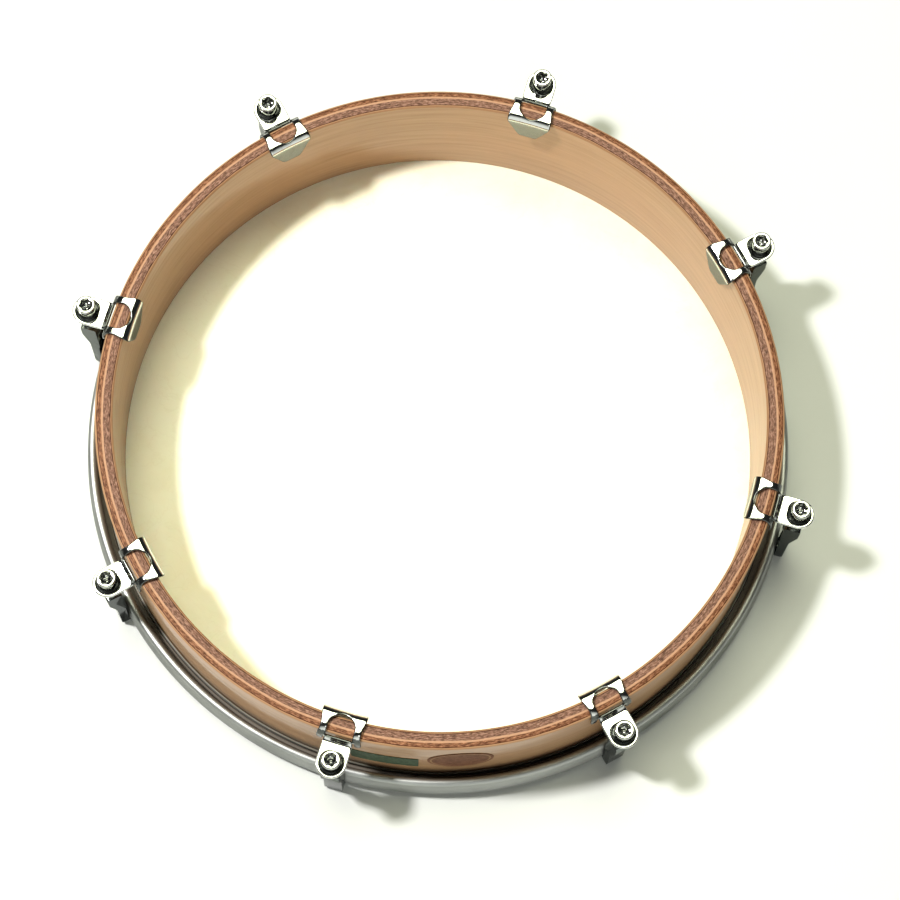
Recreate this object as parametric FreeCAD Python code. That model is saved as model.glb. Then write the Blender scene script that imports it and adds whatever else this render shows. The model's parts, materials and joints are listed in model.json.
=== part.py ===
"""Tunable hand drum: a skin head pulled over a laminated wood shell by eight screws.

Units are millimetres. The origin is the centre of the playing face and +Z points from the playing
face towards the free edge of the shell, so the drum rests on its head as modelled.
Each bracket set is drawn on the +X side, with X radial, and is then turned to its place.
"""
import FreeCAD
import Part

import math
import os

from FreeCAD import Vector

# ---- driving dimensions -------------------------------------------------------------------------
SHELL_OUTER_R = 152.5
SHELL_WALL = 8.0
SHELL_DEPTH = 63.5
BEARING_ROUND = 2.0
SKIN = 0.8

SET_COUNT = 8
FIRST_SET_DEG = 31.6

HOOP_OUTER_R = 161.3
HOOP_STEEL = 1.3
HOOP_BOTTOM_Z = 3.4
HOOP_TOP_Z = 18.5
HOOP_BEAD_R = 2.0
HOOP_BEAD_OUTER_R = 160.2

SCREW_R = 164.4
SCREW_THREAD_R = 2.5
SCREW_HEAD_R = 4.25
SCREW_HEAD_HEIGHT = 8.4
HEX_ACROSS_FLATS = 5.0
HEX_DEPTH = 4.5

BRACKET_WIDTH = 20.0
BRACKET_STEEL = 1.2
BRACKET_INNER_STAND_OFF = 1.9
BRACKET_OUTER_STAND_OFF = 0.8
BRACKET_CROWN_RISE = 1.1
WINDOW_WIDTH = 12.0
TAB_WIDTH = 13.4

CLAW_WIDTH = 8.3

BADGE_DIAMETER = 29.0
BADGE_DEG = 276.5
BADGE_BELOW_EDGE = 24.0
LABEL_WIDTH = 30.0
LABEL_HEIGHT = 16.0
LABEL_DEG = 264.0
LABEL_BELOW_EDGE = 31.0
STICKER = 0.3

# ---- fits ---------------------------------------------------------------------------------------
SNUG_GAP = 0.05
SEAT_GAP = 0.02
THREAD_GAP = 0.05
TAB_HOLE_GAP = 0.10
FLESH_HOOP_GAP = 0.25

# ---- heights and radii that follow --------------------------------------------------------------
SHELL_INNER_R = SHELL_OUTER_R - SHELL_WALL
EDGE_Z = SKIN + SHELL_DEPTH
CROWN_TOP_Z = EDGE_Z + BRACKET_CROWN_RISE + BRACKET_STEEL
TAB_TOP_Z = EDGE_Z - 3.4
DISH_DEPTH = 0.9
DISH_FLOOR_Z = TAB_TOP_Z - DISH_DEPTH
SCREW_TIP_Z = 40.0

# How far a cutting solid reaches past what it cuts.
OVERCUT = 5.0

# How far in from a square corner, along each side, the middle of its rounding arc lies.
ROUND_SHARE = 1 - math.sqrt(0.5)

UP = Vector(0, 0, 1)
CENTRE = Vector(0, 0, 0)


# ---- helpers ------------------------------------------------------------------------------------
def profile(points):
    """Closed face in the XZ plane. An item is (x, z), or (x, z, "via") for the middle of an arc."""
    edges = []
    spots = [Vector(p[0], 0, p[1]) for p in points]
    count = len(points)
    index = 0
    while index < count:
        after = (index + 1) % count
        if len(points[after]) == 3:
            end = (index + 2) % count
            edges.append(Part.Arc(spots[index], spots[after], spots[end]).toShape())
            index += 2
        else:
            edges.append(Part.makeLine(spots[index], spots[after]))
            index += 1
    return Part.Face(Part.Wire(edges))


def ring(points):
    """Full turn of a profile about the drum's axis."""
    return profile(points).revolve(CENTRE, UP, 360)


def block(x0, x1, half_width, z0, z1):
    """Box that is centred on the radial plane."""
    return Part.makeBox(x1 - x0, 2 * half_width, z1 - z0, Vector(x0, -half_width, z0))


def across(points, half_width):
    """Profile in the XZ plane, pushed out to both sides of the radial plane."""
    face = profile(points)
    face.translate(Vector(0, -half_width, 0))
    return face.extrude(Vector(0, 2 * half_width, 0))


def plan(points_face, z0, z1):
    """Face in the XY plane, pushed from z0 up to z1."""
    face = points_face.copy()
    face.translate(Vector(0, 0, z0))
    return face.extrude(Vector(0, 0, z1 - z0))


def d_shape(flat_x, centre_x, radius):
    """Face with a straight side at flat_x and a half round about centre_x."""
    low, high = Vector(flat_x, -radius, 0), Vector(flat_x, radius, 0)
    low_end, high_end = Vector(centre_x, -radius, 0), Vector(centre_x, radius, 0)
    tip = Vector(centre_x + radius, 0, 0)
    edges = [
        Part.makeLine(high, low),
        Part.makeLine(low, low_end),
        Part.Arc(low_end, tip, high_end).toShape(),
        Part.makeLine(high_end, high),
    ]
    return Part.Face(Part.Wire(edges))


def turned(shape, degrees):
    """Copy of a shape, turned about the drum's axis."""
    copy = shape.copy()
    copy.rotate(CENTRE, UP, degrees)
    return copy


def save(name, shape):
    """Write one node's STEP file."""
    clean = shape.removeSplitter()
    solids = clean.Solids
    if len(solids) != 1 or not clean.isValid():
        raise ValueError(f"{name} has {len(solids)} solids, valid {clean.isValid()}")
    solids[0].exportStep(os.path.join("parts", name + ".step"))


# ---- shell and head -----------------------------------------------------------------------------
def make_shell():
    """Laminated wood ring with eased free edges and a rounded bearing edge."""
    ease = 0.9
    ease_corner = ease * ROUND_SHARE
    bearing_corner = BEARING_ROUND * ROUND_SHARE
    return ring([
        (SHELL_INNER_R, SKIN),
        (SHELL_OUTER_R - BEARING_ROUND, SKIN),
        (SHELL_OUTER_R - bearing_corner, SKIN + bearing_corner, "via"),
        (SHELL_OUTER_R, SKIN + BEARING_ROUND),
        (SHELL_OUTER_R, EDGE_Z - ease),
        (SHELL_OUTER_R - ease_corner, EDGE_Z - ease_corner, "via"),
        (SHELL_OUTER_R - ease, EDGE_Z),
        (SHELL_INNER_R + ease, EDGE_Z),
        (SHELL_INNER_R + ease_corner, EDGE_Z - ease_corner, "via"),
        (SHELL_INNER_R, EDGE_Z - ease),
    ])


def make_head():
    """Skin: a flat playing face that turns over the bearing edge and runs up as a skirt."""
    skirt_top = 12.5
    inner = SHELL_OUTER_R + SNUG_GAP
    outer = inner + SKIN
    outer_round = BEARING_ROUND + SKIN
    inner_corner = BEARING_ROUND * ROUND_SHARE
    outer_corner = outer_round * ROUND_SHARE
    return ring([
        (0, 0),
        (outer - outer_round, 0),
        (outer - outer_corner, outer_corner, "via"),
        (outer, outer_round),
        (outer, skirt_top),
        (inner, skirt_top),
        (inner, SKIN + BEARING_ROUND),
        (inner - inner_corner, SKIN + inner_corner, "via"),
        (inner - BEARING_ROUND, SKIN),
        (0, SKIN),
    ])


def make_flesh_hoop():
    """Ring inside the tension hoop that the skin is lapped around."""
    width, height, ease = 4.6, 4.8, 0.6
    inner = SHELL_OUTER_R + SNUG_GAP + SKIN + FLESH_HOOP_GAP
    outer = inner + width
    bottom = HOOP_BOTTOM_Z + HOOP_STEEL + SEAT_GAP
    top = bottom + height
    corner = ease * ROUND_SHARE
    return ring([
        (inner + ease, bottom),
        (outer - ease, bottom),
        (outer - corner, bottom + corner, "via"),
        (outer, bottom + ease),
        (outer, top - ease),
        (outer - corner, top - corner, "via"),
        (outer - ease, top),
        (inner + ease, top),
        (inner + corner, top - corner, "via"),
        (inner, top - ease),
        (inner, bottom + ease),
        (inner + corner, bottom + corner, "via"),
    ])


def make_tension_hoop():
    """Steel hoop: an inward flange, a wall that leans in a little, and a rolled bead along the top."""
    flange_width, lip_length, bend = 6.9, 1.35, 2.9
    flange_inner = HOOP_OUTER_R - flange_width
    bead_x = HOOP_BEAD_OUTER_R - HOOP_BEAD_R
    bead_z = HOOP_TOP_Z - HOOP_BEAD_R
    lip_outer = bead_x - HOOP_BEAD_R
    lip_inner = lip_outer + HOOP_STEEL
    lip_z = bead_z - lip_length
    hollow_r = HOOP_BEAD_R - HOOP_STEEL
    corner = bend * ROUND_SHARE
    flange_top = HOOP_BOTTOM_Z + HOOP_STEEL
    inner_bend = bend - HOOP_STEEL
    inner_corner = inner_bend * ROUND_SHARE
    wall_foot = HOOP_OUTER_R - HOOP_STEEL
    return ring([
        (flange_inner, HOOP_BOTTOM_Z),
        (HOOP_OUTER_R - bend, HOOP_BOTTOM_Z),
        (HOOP_OUTER_R - corner, HOOP_BOTTOM_Z + corner, "via"),
        (HOOP_OUTER_R, HOOP_BOTTOM_Z + bend),
        (HOOP_BEAD_OUTER_R, bead_z),
        (bead_x, HOOP_TOP_Z, "via"),
        (lip_outer, bead_z),
        (lip_outer, lip_z),
        (lip_inner, lip_z),
        (lip_inner, bead_z),
        (bead_x, bead_z + hollow_r, "via"),
        (HOOP_BEAD_OUTER_R - HOOP_STEEL, bead_z),
        (wall_foot, flange_top + inner_bend),
        (wall_foot - inner_corner, flange_top + inner_corner, "via"),
        (wall_foot - inner_bend, flange_top),
        (flange_inner, flange_top),
    ])


# ---- one bracket set ----------------------------------------------------------------------------
def make_bracket():
    """Pressed clip over the free edge, with a window, a tapered tongue and a dished screw tab."""
    tongue_length, tongue_taper, tongue_end, tongue_ease = 13.5, 10.0, 4.7, 1.2
    ear_length = 7.4
    inner_bend, outer_bend = 3.0, 5.2
    sweep = 12.0
    window_inset, window_drop = 1.4, 1.4
    ear_slit = 0.3
    tab_root = 0.2
    seat_margin, seat_root, boss_wall = 0.95, 6.2, 0.8

    inner_face = SHELL_INNER_R - BRACKET_INNER_STAND_OFF
    outer_face = SHELL_OUTER_R + BRACKET_OUTER_STAND_OFF
    inner_back = inner_face - BRACKET_STEEL
    outer_back = outer_face + BRACKET_STEEL
    under_crown = CROWN_TOP_Z - BRACKET_STEEL
    tongue_bottom = EDGE_Z - tongue_length
    ear_bottom = EDGE_Z - ear_length
    inner_centre, inner_corner = inner_back + inner_bend, inner_bend * ROUND_SHARE
    outer_centre, outer_corner = outer_back - outer_bend, outer_bend * ROUND_SHARE
    inner_hollow, outer_hollow = inner_bend - BRACKET_STEEL, outer_bend - BRACKET_STEEL
    inner_hollow_corner, outer_hollow_corner = inner_hollow * ROUND_SHARE, outer_hollow * ROUND_SHARE
    half_width = BRACKET_WIDTH / 2

    clip = profile([
        (inner_back, tongue_bottom),
        (inner_back, CROWN_TOP_Z - inner_bend),
        (inner_back + inner_corner, CROWN_TOP_Z - inner_corner, "via"),
        (inner_centre, CROWN_TOP_Z),
        (outer_centre, CROWN_TOP_Z),
        (outer_back - outer_corner, CROWN_TOP_Z - outer_corner, "via"),
        (outer_back, CROWN_TOP_Z - outer_bend),
        (outer_back, ear_bottom),
        (outer_face, ear_bottom),
        (outer_face, under_crown - outer_hollow),
        (outer_face - outer_hollow_corner, under_crown - outer_hollow_corner, "via"),
        (outer_centre, under_crown),
        (inner_centre, under_crown),
        (inner_face + inner_hollow_corner, under_crown - inner_hollow_corner, "via"),
        (inner_face, under_crown - inner_hollow),
        (inner_face, tongue_bottom),
    ])
    clip.rotate(CENTRE, UP, -sweep / 2)
    clip = clip.revolve(CENTRE, UP, sweep)
    sides = block(inner_back - OVERCUT, outer_back + OVERCUT, half_width, 0, CROWN_TOP_Z + OVERCUT)
    clip = clip.common(sides)

    # tapered tongue on the inside
    mould_back = inner_back - OVERCUT
    taper_top = tongue_bottom + tongue_taper
    wide = half_width + OVERCUT
    waste = [
        (tongue_end, tongue_bottom - OVERCUT),
        (tongue_end, tongue_bottom),
        (tongue_end + tongue_ease, tongue_bottom + tongue_ease),
        (half_width, taper_top),
        (wide, taper_top),
        (wide, tongue_bottom - OVERCUT),
        (tongue_end, tongue_bottom - OVERCUT),
    ]
    for side in (1, -1):
        wire = Part.makePolygon([Vector(mould_back, side * y, z) for y, z in waste])
        clip = clip.cut(Part.Face(wire).extrude(Vector(inner_face + 1 - mould_back, 0, 0)))

    # window in the crown and the outer leg, and the gap between the two ears
    half_window = WINDOW_WIDTH / 2
    window_bottom = under_crown - window_drop
    window_centre = inner_back + window_inset + half_window
    window_height = CROWN_TOP_Z + OVERCUT - window_bottom
    past_outer = outer_back + OVERCUT
    clip = clip.cut(block(window_centre, past_outer, half_window, TAB_TOP_Z, CROWN_TOP_Z + OVERCUT))
    clip = clip.cut(Part.makeCylinder(half_window, window_height, Vector(window_centre, 0, window_bottom)))
    tab_bottom = TAB_TOP_Z - BRACKET_STEEL
    half_gap = TAB_WIDTH / 2 + ear_slit
    clip = clip.cut(block(outer_face - 1, past_outer, half_gap, ear_bottom - OVERCUT, tab_bottom))

    # screw tab with its dished seat
    seat_r = SCREW_HEAD_R + seat_margin
    seat_flat = SCREW_R - seat_root
    boss_bottom = DISH_FLOOR_Z - BRACKET_STEEL
    tab = plan(d_shape(outer_face + tab_root, SCREW_R, TAB_WIDTH / 2), tab_bottom, TAB_TOP_Z)
    boss = plan(d_shape(seat_flat - boss_wall, SCREW_R, seat_r + boss_wall), boss_bottom, TAB_TOP_Z)
    seat = plan(d_shape(seat_flat, SCREW_R, seat_r), DISH_FLOOR_Z, TAB_TOP_Z + OVERCUT)
    hole_bottom = Vector(SCREW_R, 0, boss_bottom - OVERCUT)
    hole = Part.makeCylinder(SCREW_THREAD_R + TAB_HOLE_GAP, 3 * OVERCUT, hole_bottom)
    return clip.fuse(tab.fuse(boss)).cut(seat).cut(hole)


def make_screw():
    """Tension screw with a tall socket head. The thread is a plain cylinder."""
    head_bottom = DISH_FLOOR_Z + SEAT_GAP
    head_top = head_bottom + SCREW_HEAD_HEIGHT
    rim, tip = 0.6, 0.8
    drill_depth, drill_r = 1.3, 2.4
    body = ring([
        (0, SCREW_TIP_Z),
        (SCREW_THREAD_R - tip, SCREW_TIP_Z),
        (SCREW_THREAD_R, SCREW_TIP_Z + tip),
        (SCREW_THREAD_R, head_bottom),
        (SCREW_HEAD_R, head_bottom),
        (SCREW_HEAD_R, head_top - rim),
        (SCREW_HEAD_R - rim, head_top),
        (0, head_top),
    ])
    socket_z = head_top - HEX_DEPTH
    corner_r = HEX_ACROSS_FLATS / math.sqrt(3)
    corners = []
    for k in range(7):
        angle = math.radians(60 * k)
        corners.append(Vector(corner_r * math.cos(angle), corner_r * math.sin(angle), socket_z))
    socket = Part.Face(Part.makePolygon(corners)).extrude(Vector(0, 0, HEX_DEPTH + OVERCUT))
    drill = Part.makeCone(0, drill_r, drill_depth, Vector(0, 0, socket_z - drill_depth))
    screw = body.cut(socket).cut(drill)
    screw.translate(Vector(SCREW_R, 0, 0))
    return screw


def make_claw():
    """Channel-shaped hook: a threaded block at the top and a lip under the tension hoop."""
    hoop_clearance, leg_depth, nut_wall, bore_wall = 0.35, 3.7, 1.1, 0.9
    top, block_bottom, taper_end, joggle = 46.0, 37.0, 26.0, 22.0
    lip_height, lip_reach = 1.95, 5.0
    steel, bend = 1.5, 1.6
    floor_under_thread = 1.0

    inner = HOOP_OUTER_R + hoop_clearance
    leg_outer = inner + leg_depth
    block_inner = SCREW_R - SCREW_THREAD_R - THREAD_GAP - bore_wall
    block_outer = SCREW_R + SCREW_THREAD_R + nut_wall
    lip_top = HOOP_BOTTOM_Z - SNUG_GAP
    lip_bottom = lip_top - lip_height
    lip_inner = HOOP_OUTER_R - lip_reach
    corner = bend * ROUND_SHARE
    claw = across([
        (block_inner, top),
        (block_outer, top),
        (block_outer, block_bottom),
        (leg_outer, taper_end),
        (leg_outer, lip_bottom + bend),
        (leg_outer - corner, lip_bottom + corner, "via"),
        (leg_outer - bend, lip_bottom),
        (lip_inner, lip_bottom),
        (lip_inner, lip_top),
        (inner, lip_top),
        (inner, joggle),
        (block_inner, joggle + inner - block_inner),
    ], CLAW_WIDTH / 2)
    half_hollow = CLAW_WIDTH / 2 - steel
    hollow = block(inner - OVERCUT, leg_outer - steel, half_hollow, lip_top + steel, block_bottom - steel)
    hole_bottom = Vector(SCREW_R, 0, block_bottom + floor_under_thread)
    hole = Part.makeCylinder(SCREW_THREAD_R + THREAD_GAP, 3 * OVERCUT, hole_bottom)
    return claw.cut(hollow).cut(hole)


# ---- stickers -----------------------------------------------------------------------------------
def sticker_band(z0, z1):
    """Thin band that lies on the outside of the shell."""
    inner = SHELL_OUTER_R + SEAT_GAP
    bottom = Vector(0, 0, z0)
    height = z1 - z0
    return Part.makeCylinder(inner + STICKER, height, bottom).cut(Part.makeCylinder(inner, height, bottom))


def make_badge():
    """Round blank badge."""
    z = EDGE_Z - BADGE_BELOW_EDGE
    radius = BADGE_DIAMETER / 2
    start = Vector(SHELL_OUTER_R - OVERCUT, 0, z)
    cutter = Part.makeCylinder(radius, 3 * OVERCUT, start, Vector(1, 0, 0))
    return turned(sticker_band(z - radius, z + radius).common(cutter), BADGE_DEG)


def make_label():
    """Rectangular blank label."""
    z = EDGE_Z - LABEL_BELOW_EDGE
    half = LABEL_HEIGHT / 2
    near, far = SHELL_OUTER_R - OVERCUT, SHELL_OUTER_R + OVERCUT
    cutter = block(near, far, LABEL_WIDTH / 2, z - half, z + half)
    return turned(sticker_band(z - half, z + half).common(cutter), LABEL_DEG)


# ---- all nodes ----------------------------------------------------------------------------------
def main():
    os.makedirs("parts", exist_ok=True)
    save("shell", make_shell())
    save("head_membrane", make_head())
    save("flesh_hoop", make_flesh_hoop())
    save("tension_hoop", make_tension_hoop())
    save("round_badge", make_badge())
    save("blank_label", make_label())
    bracket, screw, claw = make_bracket(), make_screw(), make_claw()
    for k in range(SET_COUNT):
        degrees = FIRST_SET_DEG + k * 360 / SET_COUNT
        save(f"bracket_{k + 1}", turned(bracket, degrees))
        save(f"tension_screw_{k + 1}", turned(screw, degrees))
        save(f"claw_{k + 1}", turned(claw, degrees))


main()
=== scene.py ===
"""Looks of the tunable hand drum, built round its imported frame.

Shapes are worked out in millimetres in the row frame and turned into metres when a mesh is made.
A bracket, a screw and a claw are each built once on the +X side, with X radial, and then turned
to their eight places. Every place comes from the frame; the values below are the fine shape of
each piece inside the box that the frame gives it.
"""
import json
import math

import bmesh
import bpy
from mathutils import Matrix, Vector
from mathutils.geometry import delaunay_2d_cdt


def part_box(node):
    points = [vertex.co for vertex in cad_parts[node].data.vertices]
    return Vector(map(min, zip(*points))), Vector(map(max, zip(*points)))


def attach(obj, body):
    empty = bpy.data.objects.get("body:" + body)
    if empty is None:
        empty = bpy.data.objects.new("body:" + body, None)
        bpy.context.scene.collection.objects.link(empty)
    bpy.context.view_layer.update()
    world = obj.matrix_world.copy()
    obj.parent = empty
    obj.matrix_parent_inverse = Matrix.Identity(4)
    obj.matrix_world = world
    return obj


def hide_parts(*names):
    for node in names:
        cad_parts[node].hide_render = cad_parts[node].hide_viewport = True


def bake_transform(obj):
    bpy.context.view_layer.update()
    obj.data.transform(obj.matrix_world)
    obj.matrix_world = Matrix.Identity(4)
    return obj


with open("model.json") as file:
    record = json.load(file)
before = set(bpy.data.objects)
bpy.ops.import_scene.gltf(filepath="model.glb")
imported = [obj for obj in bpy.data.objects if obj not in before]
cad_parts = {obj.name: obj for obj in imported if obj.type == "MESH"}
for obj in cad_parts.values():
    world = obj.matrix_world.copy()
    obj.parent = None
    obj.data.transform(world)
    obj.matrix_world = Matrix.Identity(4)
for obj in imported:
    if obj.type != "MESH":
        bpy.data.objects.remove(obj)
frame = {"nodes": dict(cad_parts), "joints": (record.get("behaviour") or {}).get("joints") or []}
bpy.context.view_layer.update()

MM = 0.001
TURN = 2 * math.pi


# ---- sizes from the frame, in millimetres --------------------------------------------------------
def span(node):
    """Lowest and highest corner of a node, in millimetres."""
    low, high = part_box(node)
    return low / MM, high / MM


shell_low, shell_high = span("shell")
hoop_low, hoop_high = span("tension_hoop")
screw_low, screw_high = span("tension_screw_1")
claw_low, claw_high = span("claw_1")
_, bracket_high = span("bracket_1")
_, head_high = span("head_membrane")
badge_low, badge_high = span("round_badge")
label_low, label_high = span("blank_label")

SHELL_R = shell_high.x
SKIN = shell_low.z
EDGE_Z = shell_high.z
HOOP_R = hoop_high.x
HOOP_BOTTOM_Z = hoop_low.z
HOOP_TOP_Z = hoop_high.z
SKIRT_TOP_Z = head_high.z

screw_joints = [j for j in frame["joints"] if j["type"] == "hinge"]
screw_spots = [Vector(j["pos_m"][:2]) / MM for j in screw_joints]
SCREW_R = screw_spots[0].length
SET_ANGLES = [math.atan2(spot.y, spot.x) for spot in screw_spots]

# ---- fine shape, in millimetres ------------------------------------------------------------------
WALL = 8.0
SHELL_INNER_R = SHELL_R - WALL
BRACKET_STEEL = 1.2
BRACKET_HALF = 10.0
TAB_TOP_Z = EDGE_Z - 3.4
DISH_DEPTH = 0.9
CLAW_HALF = 4.15
BEARING_ROUND = 2.0
SKIN_GAP = 0.05


# ---- mesh helpers --------------------------------------------------------------------------------
def make_object(name, points, faces, smooth_degrees=35):
    """Mesh object from points in millimetres, smooth except where faces meet at a larger angle."""
    mesh = bpy.data.meshes.new(name)
    mesh.from_pydata([Vector(p) * MM for p in points], [], faces)
    shape = bmesh.new()
    shape.from_mesh(mesh)
    bmesh.ops.recalc_face_normals(shape, faces=shape.faces)
    shape.to_mesh(mesh)
    shape.free()
    mesh.shade_smooth()
    mesh.set_sharp_from_angle(angle=math.radians(smooth_degrees))
    piece = bpy.data.objects.new(name, mesh)
    bpy.context.scene.collection.objects.link(piece)
    return piece


def arc(centre, radius, start, end, steps):
    """Points on an arc, with its angles in degrees."""
    points = []
    for k in range(steps + 1):
        angle = math.radians(start + (end - start) * k / steps)
        points.append((centre[0] + radius * math.cos(angle), centre[1] + radius * math.sin(angle)))
    return points


def rounded(corners, steps=5):
    """Closed outline whose corners are rounded. A corner is (x, y, radius)."""
    outline = []
    for index, (x, y, radius) in enumerate(corners):
        corner = Vector((x, y))
        back = (Vector(corners[index - 1][:2]) - corner).normalized()
        ahead = (Vector(corners[(index + 1) % len(corners)][:2]) - corner).normalized()
        if radius == 0:
            outline.append((x, y))
            continue
        half = back.angle(ahead) / 2
        centre = corner + (back + ahead).normalized() * radius / math.sin(half)
        first = corner + back * radius / math.tan(half) - centre
        last = corner + ahead * radius / math.tan(half) - centre
        sweep = math.atan2(first.x * last.y - first.y * last.x, first.dot(last))
        for k in range(steps + 1):
            outline.append(tuple(centre + Matrix.Rotation(sweep * k / steps, 2) @ first))
    return outline


def revolve(name, outline, steps=288):
    """Ring from a closed outline of (radius, height) points."""
    points, faces = [], []
    count = len(outline)
    for k in range(steps):
        c, s = math.cos(TURN * k / steps), math.sin(TURN * k / steps)
        points += [(r * c, r * s, z) for r, z in outline]
        here, there = k * count, (k + 1) % steps * count
        for i in range(count):
            j = (i + 1) % count
            faces.append((here + i, here + j, there + j, there + i))
    return make_object(name, points, faces)


def stack(name, rings, steps, centre=(0, 0), smooth_degrees=35):
    """Solid of revolution closed at both ends. A ring is (radius, height), where the radius may be
    a function of the angle."""
    points, faces = [], []
    for radius, z in rings:
        for k in range(steps):
            angle = TURN * k / steps
            r = radius(angle) if callable(radius) else radius
            points.append((centre[0] + r * math.cos(angle), centre[1] + r * math.sin(angle), z))
    for ring in range(len(rings) - 1):
        for k in range(steps):
            a, b = ring * steps + k, ring * steps + (k + 1) % steps
            faces.append((a, b, b + steps, a + steps))
    faces.append(tuple(range(steps))[::-1])
    last = (len(rings) - 1) * steps
    faces.append(tuple(range(last, last + steps)))
    return make_object(name, points, faces, smooth_degrees)


def inset(outline, distance):
    """Outline moved to its left by a distance, so inwards when it runs anticlockwise."""
    moved = []
    for index, point in enumerate(outline):
        here = Vector(point)
        back = (here - Vector(outline[index - 1])).normalized()
        ahead = (Vector(outline[(index + 1) % len(outline)]) - here).normalized()
        along = (back + ahead).normalized()
        miter = max(0.4, along.dot(back))
        moved.append((here.x - along.y * distance / miter, here.y + along.x * distance / miter))
    return moved


def inside(point, outline):
    """Whether a point lies inside an outline."""
    hit = False
    for (x0, y0), (x1, y1) in zip(outline, outline[1:] + outline[:1]):
        if (y0 > point[1]) != (y1 > point[1]):
            if point[0] < x0 + (point[1] - y0) * (x1 - x0) / (y1 - y0):
                hit = not hit
    return hit


def pressed_sheet(name, outer, holes, thickness, edge, extra, place, material_at=None):
    """Sheet metal with rounded cut edges. The outer outline runs anticlockwise and the holes run
    clockwise, all in the flat; extra are more points in the flat, and place bends (s, w, t).
    material_at(s, w, on the cut edge) is the number of the material that a face gets."""
    quarter = [math.radians(a) for a in (0, 30, 60, 90)]
    profile = [(edge - edge * math.sin(a), thickness - edge + edge * math.cos(a)) for a in quarter]
    profile += [(edge - edge * math.cos(a), edge - edge * math.sin(a)) for a in quarter]
    points, faces = [], []
    rims, marks = [], []
    for outline in [outer] + holes:
        first = len(points)
        count = len(outline)
        for distance, t in profile:
            points += [place(s, w, t) for s, w in inset(outline, distance)]
        for level in range(len(profile) - 1):
            for k in range(count):
                a = first + level * count + k
                b = first + level * count + (k + 1) % count
                faces.append((a, b, b + count, a + count))
                marks.append((*outline[k], True))
        rims.append((first, count))
    flat = []
    top_ids, bottom_ids = [], []
    edges = []
    for (first, count), outline in zip(rims, [outer] + holes):
        start = len(flat)
        flat += inset(outline, edge)
        top_ids += range(first, first + count)
        last = first + (len(profile) - 1) * count
        bottom_ids += range(last, last + count)
        edges += [(start + k, start + (k + 1) % count) for k in range(count)]
    keep = inset(outer, edge * 1.6)
    clear = [inset(hole, edge * 1.6) for hole in holes]
    for spot in extra:
        if inside(spot, keep) and not any(inside(spot, hole) for hole in clear):
            flat.append(spot)
            for ids, t in ((top_ids, thickness), (bottom_ids, 0)):
                ids.append(len(points))
                points.append(place(spot[0], spot[1], t))
    made = delaunay_2d_cdt([Vector(p) for p in flat], edges, [], 0, 1e-7)
    spots, triangles, origins = made[0], made[2], made[3]
    hole_outlines = [inset(hole, edge) for hole in holes]
    rim = inset(outer, edge)
    for triangle in triangles:
        middle = sum((spots[i] for i in triangle), Vector((0, 0))) / 3
        if not inside(middle, rim) or any(inside(middle, hole) for hole in hole_outlines):
            continue
        corners = [origins[i][0] for i in triangle]
        faces.append(tuple(top_ids[i] for i in corners))
        faces.append(tuple(bottom_ids[i] for i in reversed(corners)))
        marks += [(*middle, False)] * 2
    piece = make_object(name, points, faces)
    if material_at:
        for polygon, mark in zip(piece.data.polygons, marks):
            polygon.material_index = material_at(*mark)
    return piece


def grid(s_values, w_values):
    """Points where two sets of lines cross."""
    return [(s, w) for s in s_values for w in w_values]


def even(start, end, step):
    """Evenly spaced values from start to end, at most a step apart."""
    count = max(1, math.ceil(abs(end - start) / step))
    return [start + (end - start) * k / count for k in range(count + 1)]


def copies(source, names, angles):
    """Turned copies of a piece, one per name. The source itself is removed."""
    made = []
    for name, angle in zip(names, angles):
        mesh = source.data.copy()
        mesh.name = name
        mesh.transform(Matrix.Rotation(angle, 4, "Z"))
        piece = bpy.data.objects.new(name, mesh)
        bpy.context.scene.collection.objects.link(piece)
        made.append(piece)
    bpy.data.objects.remove(source)
    return made


def apply_modifiers(piece):
    """Bakes a piece's modifiers into its mesh."""
    graph = bpy.context.evaluated_depsgraph_get()
    mesh = bpy.data.meshes.new_from_object(piece.evaluated_get(graph))
    piece.modifiers.clear()
    piece.data = mesh


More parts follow.
